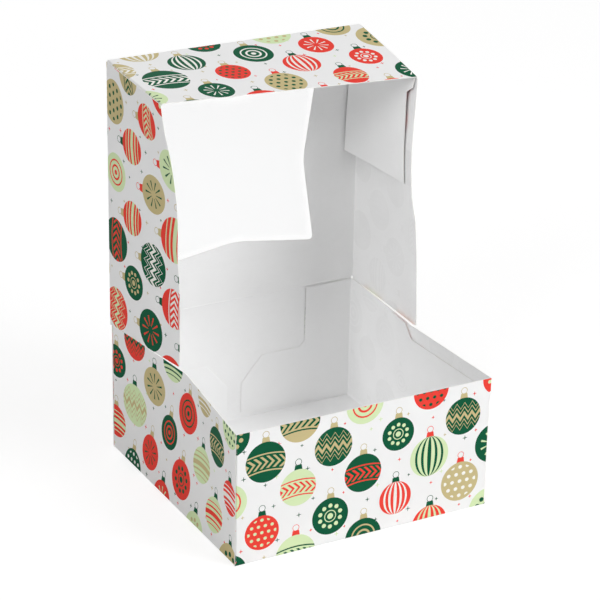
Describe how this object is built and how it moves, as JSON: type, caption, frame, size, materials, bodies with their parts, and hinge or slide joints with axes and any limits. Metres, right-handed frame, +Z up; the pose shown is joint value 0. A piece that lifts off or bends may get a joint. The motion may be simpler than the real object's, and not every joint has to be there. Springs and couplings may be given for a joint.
{
  "type": "bakery box",
  "caption": "Square paperboard bakery box standing open, with a hinged cover that closes over the outside of the tray and a clear film window in the cover.",
  "frame": {"origin": "on the table under the middle of the tray's floor", "axes": "+Z up, +X along the lid's hinge, -Y towards the front wall, opposite the hinge"},
  "size_m": [0.2066, 0.2032, 0.3064],
  "materials": {
    "white_board": "uncoated white paperboard, matt",
    "printed_board": "white paperboard with a smooth printed coating outside",
    "clear_film": "thin clear film, glossy"
  },
  "bodies": {
    "base": {"floor_panel": "white_board", "front_wall": "printed_board", "back_wall": "printed_board", "left_wall": "printed_board", "right_wall": "printed_board", "left_front_glue_tab": "white_board", "right_front_glue_tab": "white_board", "left_back_glue_tab": "white_board", "right_back_glue_tab": "white_board"},
    "lid": {"lid_panel": "printed_board", "window_film": "clear_film", "lid_front_flap": "printed_board", "lid_left_side": "printed_board", "lid_right_side": "printed_board", "lid_left_glue_tab": "white_board", "lid_right_glue_tab": "white_board"}
  },
  "joints": [
    {"name": "lid_hinge", "type": "hinge", "parent": "base", "child": "lid", "pos_m": [0, 0.10135, 0.10215], "axis": [1, 0, 0], "range_deg": [-90, 90]}
  ]
}
